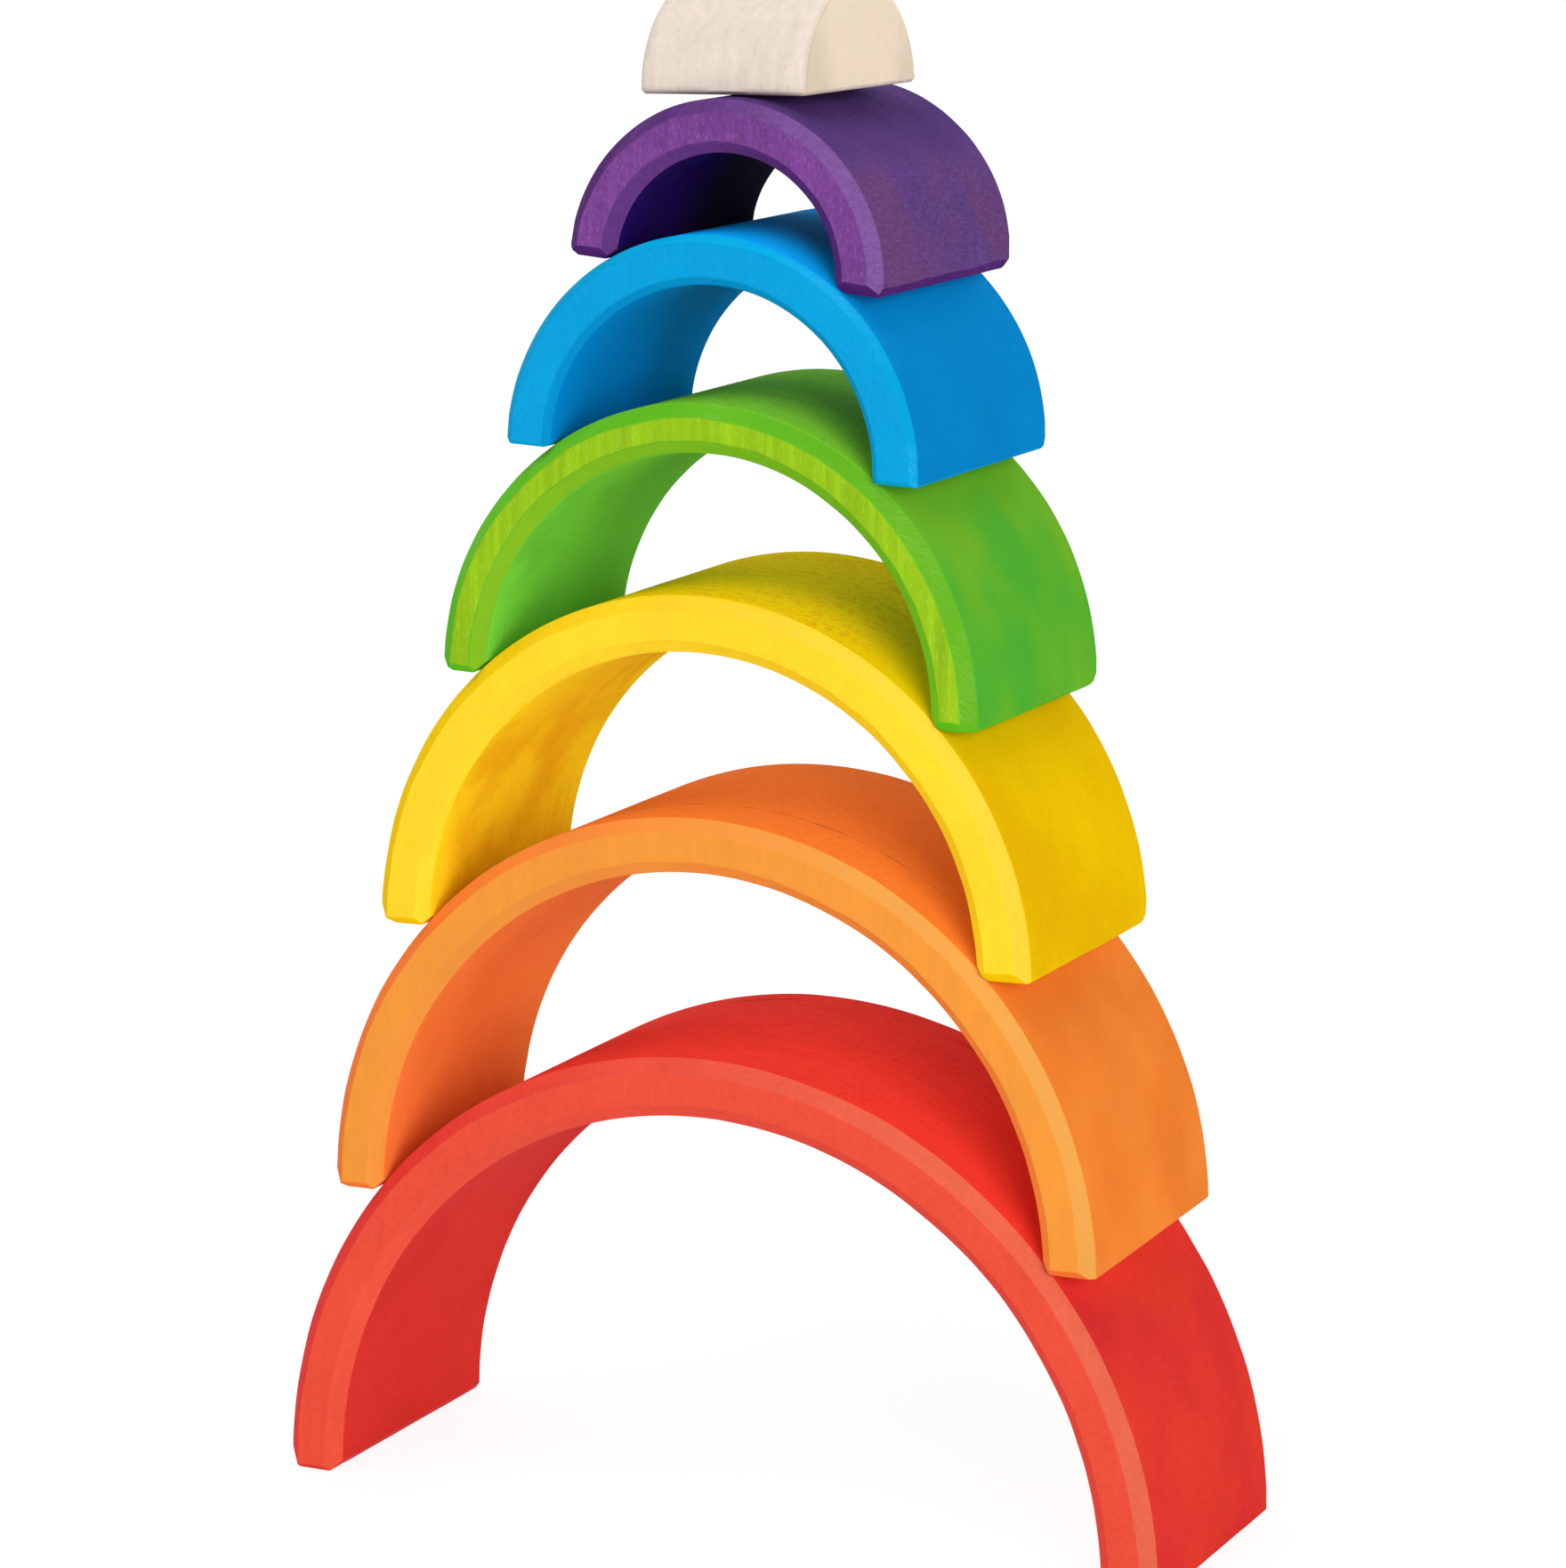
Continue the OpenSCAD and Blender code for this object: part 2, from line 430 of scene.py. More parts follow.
def write_marks(blank, worn):
    front = blank.faces.layers.float.new("front")
    chamfer = blank.faces.layers.float.new("chamfer")
    inside = blank.faces.layers.float.new("inside")
    crown = blank.faces.layers.float.new("crown")
    lit_from_right = blank.faces.layers.float.new("lit_from_right")
    edge = blank.verts.layers.float.new("worn_edge")
    rolled = blank.verts.layers.float_vector.new("rolled_out")
    blank.normal_update()
    for face in blank.faces:
        middle = face.calc_center_median()
        outward = Vector((middle.x, 0, middle.z)).normalized()
        tilt = abs(face.normal.y)
        from_chamfer = abs(tilt - CHAMFER_TILT)
        under_foot = middle.z < SOLE_HEIGHT and face.normal.z < FACES_DOWN
        face[front] = share(tilt, *FRONT_TILT)
        face[chamfer] = 1.0 if under_foot else share(CHAMFER_SPREAD - from_chamfer, *CHAMFER_EDGE)
        # How far a face turns right: the finish paints highlight on faces turned right and shade on faces
        # turned left.
        face[lit_from_right] = 0.0 if under_foot else share(face.normal.x, *LIGHT_SIDE_LIMITS)
        face[inside] = UNDER_FOOT if under_foot else max(0.0, -face.normal.dot(outward))
        face[crown] = max(0.0, face.normal.z) ** CROWN_POWER
        face.smooth = len(face.verts) > 3
    for vertex in blank.verts:
        radius = math.hypot(vertex.co.x, vertex.co.z)
        vertex[edge] = 1.0 if vertex in worn else 0.0
        vertex[rolled] = (math.atan2(vertex.co.z, vertex.co.x) * radius, vertex.co.y, radius)


write_marks(trial, trial_worn)
print("marks on each face:", trial.faces.layers.float.keys())
trial.free()

# %% [markdown]
# ## From blank to piece
# The finished bmesh is moved to its place in the tower and becomes an object at the origin. Smooth
# shading alone would smear the flats. A Weighted Normal modifier lets the broad faces set the shading,
# so the flats look flat and only the narrow rounded borders catch the light.

# %% Make the six arches
BROAD_FACE_WEIGHT = 60


def finished_piece(name, blank, place):
    bmesh.ops.transform(blank, matrix=place, verts=blank.verts)
    mesh = bpy.data.meshes.new(name + "_wood")
    blank.to_mesh(mesh)
    blank.free()
    piece = bpy.data.objects.new(name + "_wood", mesh)
    bpy.context.scene.collection.objects.link(piece)
    shading = piece.modifiers.new("flat_shading", "WEIGHTED_NORMAL")
    shading.weight = BROAD_FACE_WEIGHT
    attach(piece, name)
    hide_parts(name)
    return piece


def sanded_arch(name, seed):
    arch = arches[name]
    cuts = CUTS[name]
    blank = arch_blank(arch)
    chamfer_curves(blank, cuts.curve * MM)
    divide_strips(blank, arch.depth)
    shave_feet(blank, arch, cuts)
    slide_borders(blank, cuts.wander * MM, seed)
    worn = round_arrises(blank, cuts.arris * MM)
    lower_skin(blank, SKIN, seed)
    write_marks(blank, worn)
    print(name, "open edges:", open_edges(blank))
    place = Matrix.Translation(arch.centre) @ Matrix.Rotation(arch.tilt, 4, "Y")
    return finished_piece(name, blank, place)


pieces = {}
for seed, name in enumerate(ARCH_NAMES):
    pieces[name] = sanded_arch(name, seed)
    print(name, len(pieces[name].data.polygons), "faces")

# %% [markdown]
# ## Where the block lies
# The core of the rainbow lies across the top with its flat side down, turned a quarter turn. Its place
# could be typed in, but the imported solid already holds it: the flat base gives the middle, and the
# flat end gives the way that the block is turned.

# %% Measure the block
BLOCK = "half_round_block"


def measured_block():
    """Place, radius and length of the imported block."""
    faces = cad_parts[BLOCK].data.polygons
    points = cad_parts[BLOCK].data.vertices
    base = max((face for face in faces if face.normal.z < -SQUARELY), key=lambda face: face.area)
    end = max((face for face in faces if face.normal.x > SQUARELY), key=lambda face: face.area)
    axes = Matrix((base.normal.cross(end.normal), -end.normal, -base.normal))
    reach = [axes @ point.co for point in points]
    low = Vector([min(point[axis] for point in reach) for axis in range(3)])
    high = Vector([max(point[axis] for point in reach) for axis in range(3)])
    middle = Vector(((low.x + high.x) / 2, (low.y + high.y) / 2, low.z))
    place = axes.transposed().to_4x4() @ Matrix.Translation(middle)
    return place, high.z - low.z, high.y - low.y


block_place, block_radius, block_length = measured_block()
print("block radius", round(block_radius / MM, 2), "length", round(block_length / MM, 2))

# %% [markdown]
# ## The half-round block
# The block's end is half a disc. A cylinder could be cut in two, but here a circle is cut by a plane
# and then drawn out to the block's length, so the cut has only one face to go through. The block then
# takes the same steps as an arch, with a narrow chamfer along all its edges.

# %% Make the block
BLOCK_SEGMENTS = 160
BLOCK_EDGE = 0.9 * MM
BLOCK_ARRIS = 0.25 * MM
BLOCK_WANDER = 0.1 * MM
BLOCK_SEED = 7


def block_blank():
    """Half-round block, its length along Y, its flat base on the floor."""
    blank = bmesh.new()
    upright = Matrix.Rotation(math.pi / 2, 3, "X")
    bmesh.ops.create_circle(blank, cap_ends=True, radius=block_radius, segments=BLOCK_SEGMENTS)
    bmesh.ops.rotate(blank, verts=blank.verts, cent=(0, 0, 0), matrix=upright)
    whole = list(blank.verts) + list(blank.edges) + list(blank.faces)
    bmesh.ops.bisect_plane(
        blank, geom=whole, dist=SOLE, plane_co=(0, 0, 0), plane_no=(0, 0, 1), clear_inner=True,
    )
    bmesh.ops.remove_doubles(blank, verts=blank.verts, dist=SOLE)
    bmesh.ops.translate(blank, verts=blank.verts, vec=(0, -block_length / 2, 0))
    drawn = bmesh.ops.extrude_face_region(blank, geom=list(blank.faces))
    far_end = [item for item in drawn["geom"] if isinstance(item, bmesh.types.BMVert)]
    bmesh.ops.translate(blank, verts=far_end, vec=(0, block_length, 0))
    bmesh.ops.recalc_face_normals(blank, faces=blank.faces)
    return blank


def sanded_block():
    blank = block_blank()
    bevel(blank, corner_edges(blank, SHARP_DEGREES), BLOCK_EDGE, 1)
    divide_strips(blank, block_length)
    slide_borders(blank, BLOCK_WANDER, BLOCK_SEED)
    worn = round_arrises(blank, BLOCK_ARRIS)
    lower_skin(blank, SKIN, BLOCK_SEED)
    write_marks(blank, worn)
    print(BLOCK, "open edges:", open_edges(blank))
    return finished_piece(BLOCK, blank, block_place)


pieces[BLOCK] = sanded_block()
print(BLOCK, len(pieces[BLOCK].data.polygons), "faces")

# %% [markdown]
# ## A few short words for nodes
# A wood finish needs many small nodes. They could be added one by one, but these helpers add a node,
# set its sockets and hand back its output, so that the recipes below read like recipes.

# %% Node helpers
def add(tree, kind, inputs, output=0, **settings):
    node = tree.nodes.new("ShaderNode" + kind)
    for key, value in settings.items():
        setattr(node, key, value)
    for key, value in inputs.items():
        if isinstance(value, bpy.types.NodeSocket):
            tree.links.new(value, node.inputs[key])
        else:
            node.inputs[key].default_value = value
    return node.outputs[output]


def calc(tree, operation, *values):
    return add(tree, "Math", dict(enumerate(values)), operation=operation)


def times(tree, first, second):
    return calc(tree, "MULTIPLY", first, second)


def most(tree, first, second):
    return calc(tree, "MAXIMUM", first, second)


def less(tree, first, second):
    return calc(tree, "SUBTRACT", first, second)


def plus_part(tree, base, value, part):
    """The base, with a part of the value added to it."""
    return calc(tree, "MULTIPLY_ADD", value, part, base)


def plus_wave(tree, base, value, part):
    """The base, made more where a pattern is over one half, and less where it is under."""
    return plus_part(tree, base, less(tree, value, 0.5), part)


def soft_step(tree, value, low, high):
    limits = {"Value": value, "From Min": low, "From Max": high, "To Min": 0.0, "To Max": 1.0}
    return add(tree, "MapRange", limits, interpolation_type="SMOOTHSTEP")


def blend_colour(tree, factor, first, second, way="MIX"):
    return add(tree, "MixRGB", {"Fac": factor, "Color1": first, "Color2": second}, blend_type=way)


def mark(tree, name, output="Fac"):
    return add(tree, "Attribute", {}, output=output, attribute_name=name)


def stretched(tree, vector, scale, place=(0, 0, 0)):
    return add(tree, "Mapping", {"Vector": vector, "Location": place, "Scale": scale})


def speckle(tree, vector, scale, detail=2.0, roughness=0.5):
    sockets = {"Vector": vector, "Scale": scale, "Detail": detail, "Roughness": roughness}
    return add(tree, "TexNoise", sockets)


def hue(code):
    """Linear colour for a hex code as seen on a screen."""
    parts = [int(code[start:start + 2], 16) / 255 for start in (1, 3, 5)]
    linear = [part / 12.92 if part <= 0.04045 else ((part + 0.055) / 1.055) ** 2.4 for part in parts]
    return (*linear, 1.0)


print("middle grey as linear light:", round(hue("#808080")[0], 3))

# %% [markdown]
# ## Limewood grain
# Limewood is pale and even. Its fibres run up the arch, so the front shows fine upright streaks and
# the crown shows their cut ends as a speckle. The growth layers lie one behind the other, so they
# cross the crown as thin lines along the front edge. One solid texture on Object coordinates gives
# all of these at once, because it is the same wood whichever way it is cut.

# %% Grain
Grain = namedtuple("Grain", "streaks fibres pores cloud patches layers ends depth")
SEED_STEP = (0.31, 0.17, 0.23)
LONG_UPRIGHT = (1, 1, 0.05)
FIBRE_UPRIGHT = (1, 1, 0.22)
PORE_UPRIGHT = (1, 1, 0.2)
PATCH_UPRIGHT = (1, 1, 0.8)
IN_LAYERS = (0.04, 1, 0.04)
PORE_LIMITS = (0.62, 0.74)
PATCH_LIMITS = (0.36, 0.64)


def limewood_grain(tree, seed):
    coords = add(tree, "TexCoord", {}, output="Object")
    wood = stretched(tree, coords, (1, 1, 1), tuple(step * seed for step in SEED_STEP))
    upright = stretched(tree, wood, LONG_UPRIGHT)
    fibres = stretched(tree, wood, FIBRE_UPRIGHT)
    pores = speckle(tree, stretched(tree, wood, PORE_UPRIGHT), scale=1500, detail=1)
    patches = speckle(tree, stretched(tree, wood, PATCH_UPRIGHT), scale=36, detail=2)
    layered = stretched(tree, wood, IN_LAYERS)
    return Grain(
        streaks=speckle(tree, upright, scale=520, detail=4, roughness=0.6),
        fibres=speckle(tree, fibres, scale=3000, detail=2, roughness=0.6),
        pores=soft_step(tree, pores, *PORE_LIMITS),
        cloud=speckle(tree, wood, scale=55, detail=4, roughness=0.55),
        patches=soft_step(tree, patches, *PATCH_LIMITS),
        layers=speckle(tree, layered, scale=900, detail=3, roughness=0.65),
        ends=speckle(tree, wood, scale=900, detail=3, roughness=0.75),
        depth=add(tree, "SeparateXYZ", {0: coords}, output=1),
    )


print("patterns in the grain:", Grain._fields)

# %% [markdown]
# ## Marks of the sander
# A drum sander leaves bowed lines across the outside of an arch, and the belt that cut the chamfers
# leaves slanting ones. On Object coordinates such lines would run straight through the wood. Both
# follow the curve here, because they are drawn on the rolled-out place of each point.

# %% Sanding marks
LINE_STRETCH = 0.1
LINE_LIMITS = (0.38, 0.72)
DRUM_LINES = 3600
DRUM_BOW = 7 * MM
BOW_SCALE = 70
BELT_LINES = 2600


def roll_out(tree):
    """Place along the arch and place in its depth."""
    split = tree.nodes.new("ShaderNodeSeparateXYZ")
    tree.links.new(mark(tree, "rolled_out", "Vector"), split.inputs[0])
    return split.outputs[0], split.outputs[1]


def fine_lines(tree, across, along, count):
    """Thin lines that run along one direction, counted per metre across it."""
    place = add(tree, "CombineXYZ", {0: across, 1: times(tree, along, LINE_STRETCH)})
    return soft_step(tree, speckle(tree, place, count, detail=3, roughness=0.6), *LINE_LIMITS)


def drum_lines(tree):
    along, depth = roll_out(tree)
    bow = speckle(tree, add(tree, "CombineXYZ", {0: along, 1: depth}), BOW_SCALE, detail=1)
    return fine_lines(tree, plus_part(tree, along, bow, DRUM_BOW), depth, DRUM_LINES)


def belt_lines(tree):
    along, depth = roll_out(tree)
    return fine_lines(tree, calc(tree, "ADD", along, depth), less(tree, along, depth), BELT_LINES)


print("lines per metre:", DRUM_LINES, "from the drum,", BELT_LINES, "from the belt")

# %% [markdown]
# ## Stain on limewood
# The toy is coloured with a thin water stain, so the wood still shows. The flat front takes less than
# the curved sides. In most arches the inside tone is lighter than the side, which is painted light in
# the tunnels; in the purple arch the inside is a darker stain. Outer chamfers are painted paler where
# they face right, a painted highlight, and darker where they face left, a painted shade, and the lips
# inside lie between. One recipe could be copied for each arch, but a table of tones and strengths lets
# all six share it. The strengths are shares, apart from ring, the place of a dark growth ring in the
# arch's depth, in millimetres. Crown is painted light on the crowns. Far darkens the far end of the
# inside: painted shade, and in the purple arch a darker stain as well.

# %% Table of stains
TONES = "front side inside patch rim lip kept worn deep"
STRENGTHS = "wear belt streak mottle grit crown drum layers soak far gloss ring"
Stain = namedtuple("Stain", TONES + " " + STRENGTHS)
STAINS = {
    "red_arch": Stain(
        front="#d74a36", side="#dc382a", inside="#d3352e", patch="#d22d2d", rim="#cc5b43",
        lip="#d64d39", kept="#dc3531", worn="#f2937a", deep="#a01a1e",
        wear=0.4, belt=0.08, streak=0.05, mottle=0.12, grit=0.3, crown=0.08,
        drum=0.01, layers=0.08, soak=0.36, far=0.0, gloss=0.02, ring=21,
    ),
    "orange_arch": Stain(
        front="#de8c36", side="#e5792a", inside="#f6883f", patch="#ec8533", rim="#d39244",
        lip="#dc8d3b", kept="#ef7730", worn="#fbc98c", deep="#b4501a",
        wear=0.4, belt=0.0, streak=0.05, mottle=0.08, grit=0.05, crown=0.08,
        drum=0.01, layers=0.10, soak=0.28, far=0.0, gloss=0.02, ring=-14,
    ),
    "yellow_arch": Stain(
        front="#f0c429", side="#e7bb03", inside="#fae21e", patch="#e0af03", rim="#f3bc35",
        lip="#e8c82d", kept="#edc307", worn="#fde9a0", deep="#c87203",
        wear=0.3, belt=0.0, streak=0.04, mottle=0.10, grit=0.2, crown=0.34,
        drum=0.0, layers=0.16, soak=0.62, far=0.0, gloss=0.004, ring=20,
    ),
    "green_arch": Stain(
        front="#87b01a", side="#6dad24", inside="#76d240", patch="#49a62d", rim="#589c1c",
        lip="#75aa1f", kept="#55b21d", worn="#c3d878", deep="#3a8e2e",
        wear=0.6, belt=0.15, streak=0.26, mottle=0.06, grit=0.05, crown=0.50,
        drum=0.02, layers=0.10, soak=0.50, far=0.35, gloss=0.012, ring=-9,
    ),
    "blue_arch": Stain(
        front="#0b90c6", side="#0581c3", inside="#0386d7", patch="#057bbc", rim="#078fc2",
        lip="#0682bb", kept="#0699c6", worn="#8fd6f2", deep="#05639c",
        wear=1.0, belt=0.08, streak=0.05, mottle=0.08, grit=0.16, crown=1.2,
        drum=0.0, layers=0.06, soak=0.16, far=0.15, gloss=0.006, ring=24,
    ),
    "purple_arch": Stain(
        front="#6b3b7f", side="#553977", inside="#240c57", patch="#623c6d", rim="#6c4884",
        lip="#562f6d", kept="#491a64", worn="#b08cc4", deep="#1d1a26",
        wear=0.5, belt=0.20, streak=0.26, mottle=0.20, grit=0.8, crown=0.15,
        drum=0.11, layers=0.10, soak=0.45, far=0.95, gloss=0.008, ring=25,
    ),
}
print("stains:", len(STAINS), "with", len(TONES.split()), "tones each")

# %% [markdown]
# ## Where the stain soaks in, and the shaded far ends
# Cut fibre ends drink more stain than the sides of fibres do. On the crown they show as dark specks,
# and on the inside as soft bands. In the smaller arches the far end of the inside is darker still:
# painted shade at the back of the tunnel, and in the purple arch a darker stain as well. One deep
# tone, laid over by the marks and the grain, gives all three.

# %% Soaked stain
ON_CROWN = (0.1, 0.7)
WELL_INSIDE = (0.75, 1.0)
SPECK_LAYERS = 0.35
SPECK_LIMITS = (0.46, 0.62)
BAND_LAYERS = 0.2
BAND_LIMITS = (0.42, 0.66)
BAND_STRENGTH = 0.7
FAR_LIMITS = (-12 * MM, 12 * MM)


def deep_stain_and_shade(tree, stain, grain):
    """How much of the deep tone shows, from 0 to 1."""
    on_crown = soft_step(tree, mark(tree, "crown"), *ON_CROWN)
    within = soft_step(tree, mark(tree, "inside"), *WELL_INSIDE)
    specks = plus_part(tree, times(tree, grain.ends, 1 - SPECK_LAYERS), grain.layers, SPECK_LAYERS)
    specks = times(tree, soft_step(tree, specks, *SPECK_LIMITS), on_crown)
    bands = plus_part(tree, times(tree, grain.cloud, 1 - BAND_LAYERS), grain.layers, BAND_LAYERS)
    bands = times(tree, soft_step(tree, bands, *BAND_LIMITS), times(tree, within, BAND_STRENGTH))
    soaked = times(tree, most(tree, specks, bands), stain.soak)
    # Painted shade at the far end of the inside, where the tunnel is darkest; in the purple arch it is
    # also a darker stain.
    far_end = times(tree, soft_step(tree, grain.depth, *FAR_LIMITS), within)
    return most(tree, soaked, times(tree, far_end, stain.far))


print("far ends darken from", FAR_LIMITS[0] / MM, "to", FAR_LIMITS[1] / MM, "mm of depth")

# %% [markdown]
# ## Tone of the stain
# The marks say what each face is, so its tone is a chain of blends: from side to patch, to inside, to
# the deep tone, then to front, and last to chamfer. A chain is easy to change one link at a time.

# %% Stain tone
OFF_CROWN = (0.3, 0.02)
INNER_LIP = (0.5, 0.65)
LIP_LEAST = 0.5


def below_crown(tree):
    """One on the upright sides, and none on the crown."""
    return soft_step(tree, mark(tree, "crown"), *OFF_CROWN)


def stain_tone(tree, stain, grain):
    """Colour of the stain before the wood shows, with painted light and shade on chamfers and insides."""
    inside = mark(tree, "inside")
    lit_from_right = mark(tree, "lit_from_right")
    patches = times(tree, grain.patches, below_crown(tree))
    side = blend_colour(tree, patches, hue(stain.side), hue(stain.patch))
    # Painted light: in most arches the inside tone is lighter than the side, to light the tunnels; the
    # purple arch's inside is darker stain.
    side = blend_colour(tree, soft_step(tree, inside, *WELL_INSIDE), side, hue(stain.inside))
    side = blend_colour(tree, deep_stain_and_shade(tree, stain, grain), side, hue(stain.deep))
    # Painted highlight and shade: chamfers that face right take the paler rim tone, those that face left
    # the darker shaded tone.
    outer = blend_colour(tree, lit_from_right, hue(stain.kept), hue(stain.rim))
    lip_share = plus_part(tree, LIP_LEAST, lit_from_right, 1 - LIP_LEAST)
    lip = blend_colour(tree, lip_share, hue(stain.kept), hue(stain.lip))
    chamfer = blend_colour(tree, soft_step(tree, inside, *INNER_LIP), outer, lip)
    tone = blend_colour(tree, mark(tree, "front"), side, hue(stain.front))
    return blend_colour(tree, mark(tree, "chamfer"), tone, chamfer)


print("a lip that faces left takes", LIP_LEAST, "of its rubbed tone")

# %% [markdown]
# ## Light and dark in the wood
# Streaks, fibres, pores and growth layers lighten or darken the stain without changing its hue. They
# could be mixed in as more tones, but one number that multiplies the tone is simpler: it starts at 1,
# and each pattern adds to it or takes from it. The same number carries painted light: the crowns are
# made lighter, and so are the inner lips that face left.

# %% Wood light
STREAK_PART = 3.0
FIBRE_PART = 0.4
FIBRE_LEAST = 0.04
MOTTLE_PART = 2.0
CROWN_GRIT = 0.10
LAYERS_CUT_ACROSS = 1.4
LAYERS_LEAST = 0.3
PORE_PART = -0.03
RING_PART = -0.4
RING_WANDER = 3.0 * MM
RING_LIMITS = (1.85 * MM, 1.45 * MM)
LIP_PAINTED_LIGHT = 0.25


def ring_line(tree, stain, grain):
    """A dark growth ring that crosses the crown, a little wavy."""
    ring = calc(tree, "ABSOLUTE", less(tree, grain.depth, stain.ring * MM))
    ring = plus_part(tree, ring, grain.cloud, RING_WANDER)
    return times(tree, soft_step(tree, ring, *RING_LIMITS), mark(tree, "crown"))


def wood_light(tree, stain, grain):
    """How much lighter or darker the wood makes the stain, with painted light on crowns and left lips."""
    crown = mark(tree, "crown")
    inside = mark(tree, "inside")
    streaks = plus_part(tree, 0.5, less(tree, grain.streaks, 0.5), mark(tree, "front"))
    light = plus_wave(tree, 1.0, streaks, STREAK_PART * stain.streak)
    light = plus_wave(tree, light, grain.fibres, FIBRE_PART * stain.streak + FIBRE_LEAST)
    light = plus_wave(tree, light, grain.cloud, MOTTLE_PART * stain.mottle)
    light = plus_wave(tree, light, grain.ends, plus_part(tree, stain.grit, crown, CROWN_GRIT))
    cut_across = most(tree, crown, inside)
    layers = plus_part(tree, LAYERS_LEAST * stain.layers, cut_across, LAYERS_CUT_ACROSS * stain.layers)
    light = plus_wave(tree, light, grain.layers, layers)
    light = plus_part(tree, light, grain.pores, PORE_PART)
    light = plus_part(tree, light, ring_line(tree, stain, grain), RING_PART)
    # Painted light: inner lips that face left, which lie in shade, are made lighter.
    lip = times(tree, mark(tree, "chamfer"), soft_step(tree, inside, *INNER_LIP))
    left_lip = times(tree, lip, less(tree, 1.0, mark(tree, "lit_from_right")))
    light = plus_part(tree, light, left_lip, LIP_PAINTED_LIGHT)
    # Painted light: faces that look up, the crowns, are made lighter by each stain's crown share.
    return plus_part(tree, light, crown, stain.crown)


print("growth rings at", {name: stain.ring for name, stain in STAINS.items()}, "mm of depth")

# %% [markdown]
# ## Worn places
# Stain is thin, so it rubs off along the edges, where the belt has scratched the outer chamfers, in
# flecks on the front and where the drum has scored the sides. Each is a share of paler wood. The
# strongest of them counts at each point, so that they never add up to bare patches. Edges that face
# right are made paler than those that face left, which is painted highlight.

# %% Worn away
EDGE_FRAY = 0.6
EDGE_LIMITS = (1.08, 1.42)
EDGE_LEAST = 0.3
OUTER_CHAMFER = (0.5, 0.9)
BELT_PATCHES = (0.42, 0.62)
FLECK_LIMITS = (0.54, 0.8)


def wear_and_edge_highlight(tree, stain, grain):
    """Where the stain is scratched or worn to paler wood, with painted highlight on right-facing edges."""
    front = mark(tree, "front")
    inside = mark(tree, "inside")
    edge = plus_part(tree, mark(tree, "worn_edge"), grain.fibres, EDGE_FRAY)
    edge = times(tree, soft_step(tree, edge, *EDGE_LIMITS), stain.wear)
    # Painted highlight: edges that face right are made paler than edges that face left.
    edge = times(tree, edge, plus_part(tree, EDGE_LEAST, mark(tree, "lit_from_right"), 1 - EDGE_LEAST))
    outer = less(tree, mark(tree, "chamfer"), inside)
    belt = times(tree, belt_lines(tree), soft_step(tree, outer, *OUTER_CHAMFER))
    belt = times(tree, belt, soft_step(tree, grain.cloud, *BELT_PATCHES))
    flecks = times(tree, soft_step(tree, grain.fibres, *FLECK_LIMITS), front)
    curved = less(tree, 1.0, most(tree, front, inside))
    drum = times(tree, drum_lines(tree), times(tree, curved, below_crown(tree)))
    worn = most(tree, edge, times(tree, belt, stain.belt))
    worn = most(tree, worn, times(tree, flecks, stain.streak))
    return most(tree, worn, times(tree, drum, stain.drum))


print("strongest wear:", max(stain.wear for stain in STAINS.values()))

# %% [markdown]
# ## The stained finish
# Stained wood without lacquer hardly shines, so the gloss is low and the surface rough, a little less
# so on the chamfers that hands have smoothed. The fibres stand up by a hair, which a bump shows well
# enough: as geometry they would need millions of faces.

# %% Stained limewood
STAINED_ROUGHNESS = 0.72
CHAMFER_SMOOTHER = -0.2
STREAK_ROUGHNESS = 0.16
PORE_RELIEF = -0.6
RELIEF_STRENGTH = 0.25
RELIEF_HEIGHT = 0.15 * MM


def new_finish(name):
    finish = bpy.data.materials.new(name)
    finish.use_nodes = True
    return finish, finish.node_tree, finish.node_tree.nodes["Principled BSDF"]


def lit_by_wood(tree, tone, light):
    shade = add(tree, "CombineColor", {0: light, 1: light, 2: light})
    return blend_colour(tree, 1.0, tone, shade, "MULTIPLY")


def rough_with_streaks(tree, shader, grain, base):
    rough = plus_part(tree, base, grain.streaks, STREAK_ROUGHNESS)
    tree.links.new(rough, shader.inputs["Roughness"])


def raise_grain(tree, shader, relief):
    sockets = {"Height": relief, "Strength": RELIEF_STRENGTH, "Distance": RELIEF_HEIGHT}
    tree.links.new(add(tree, "Bump", sockets), shader.inputs["Normal"])


def stained_limewood(name, stain, seed):
    finish, tree, shader = new_finish(name)
    grain = limewood_grain(tree, seed)
    tone = lit_by_wood(tree, stain_tone(tree, stain, grain), wood_light(tree, stain, grain))
    tone = blend_colour(tree, wear_and_edge_highlight(tree, stain, grain), tone, hue(stain.worn))
    tree.links.new(tone, shader.inputs["Base Color"])
    base = plus_part(tree, STAINED_ROUGHNESS, mark(tree, "chamfer"), CHAMFER_SMOOTHER)
    rough_with_streaks(tree, shader, grain, base)
    shader.inputs["Specular IOR Level"].default_value = stain.gloss
    relief = calc(tree, "ADD", grain.fibres, grain.streaks)
    raise_grain(tree, shader, plus_part(tree, relief, grain.pores, PORE_RELIEF))
    return finish


for seed, name in enumerate(ARCH_NAMES):
    slot = name.replace("_arch", "_stain")
    pieces[name].data.materials.append(stained_limewood(slot, STAINS[name], seed + 1))
    print(name, "wears", slot)

# %% [markdown]
# ## Bare wood
# The block has no stain. It shows limewood: cream on the round back, a little browner where the end
# is cut across, with short dark dashes where the fibres meet the surface, most of them near the base.
# Its top is painted lighter, a painted light from above, and its edges and chamfers are painted
# darker, as painted shade. It has the grain of the arches in tones of its own.

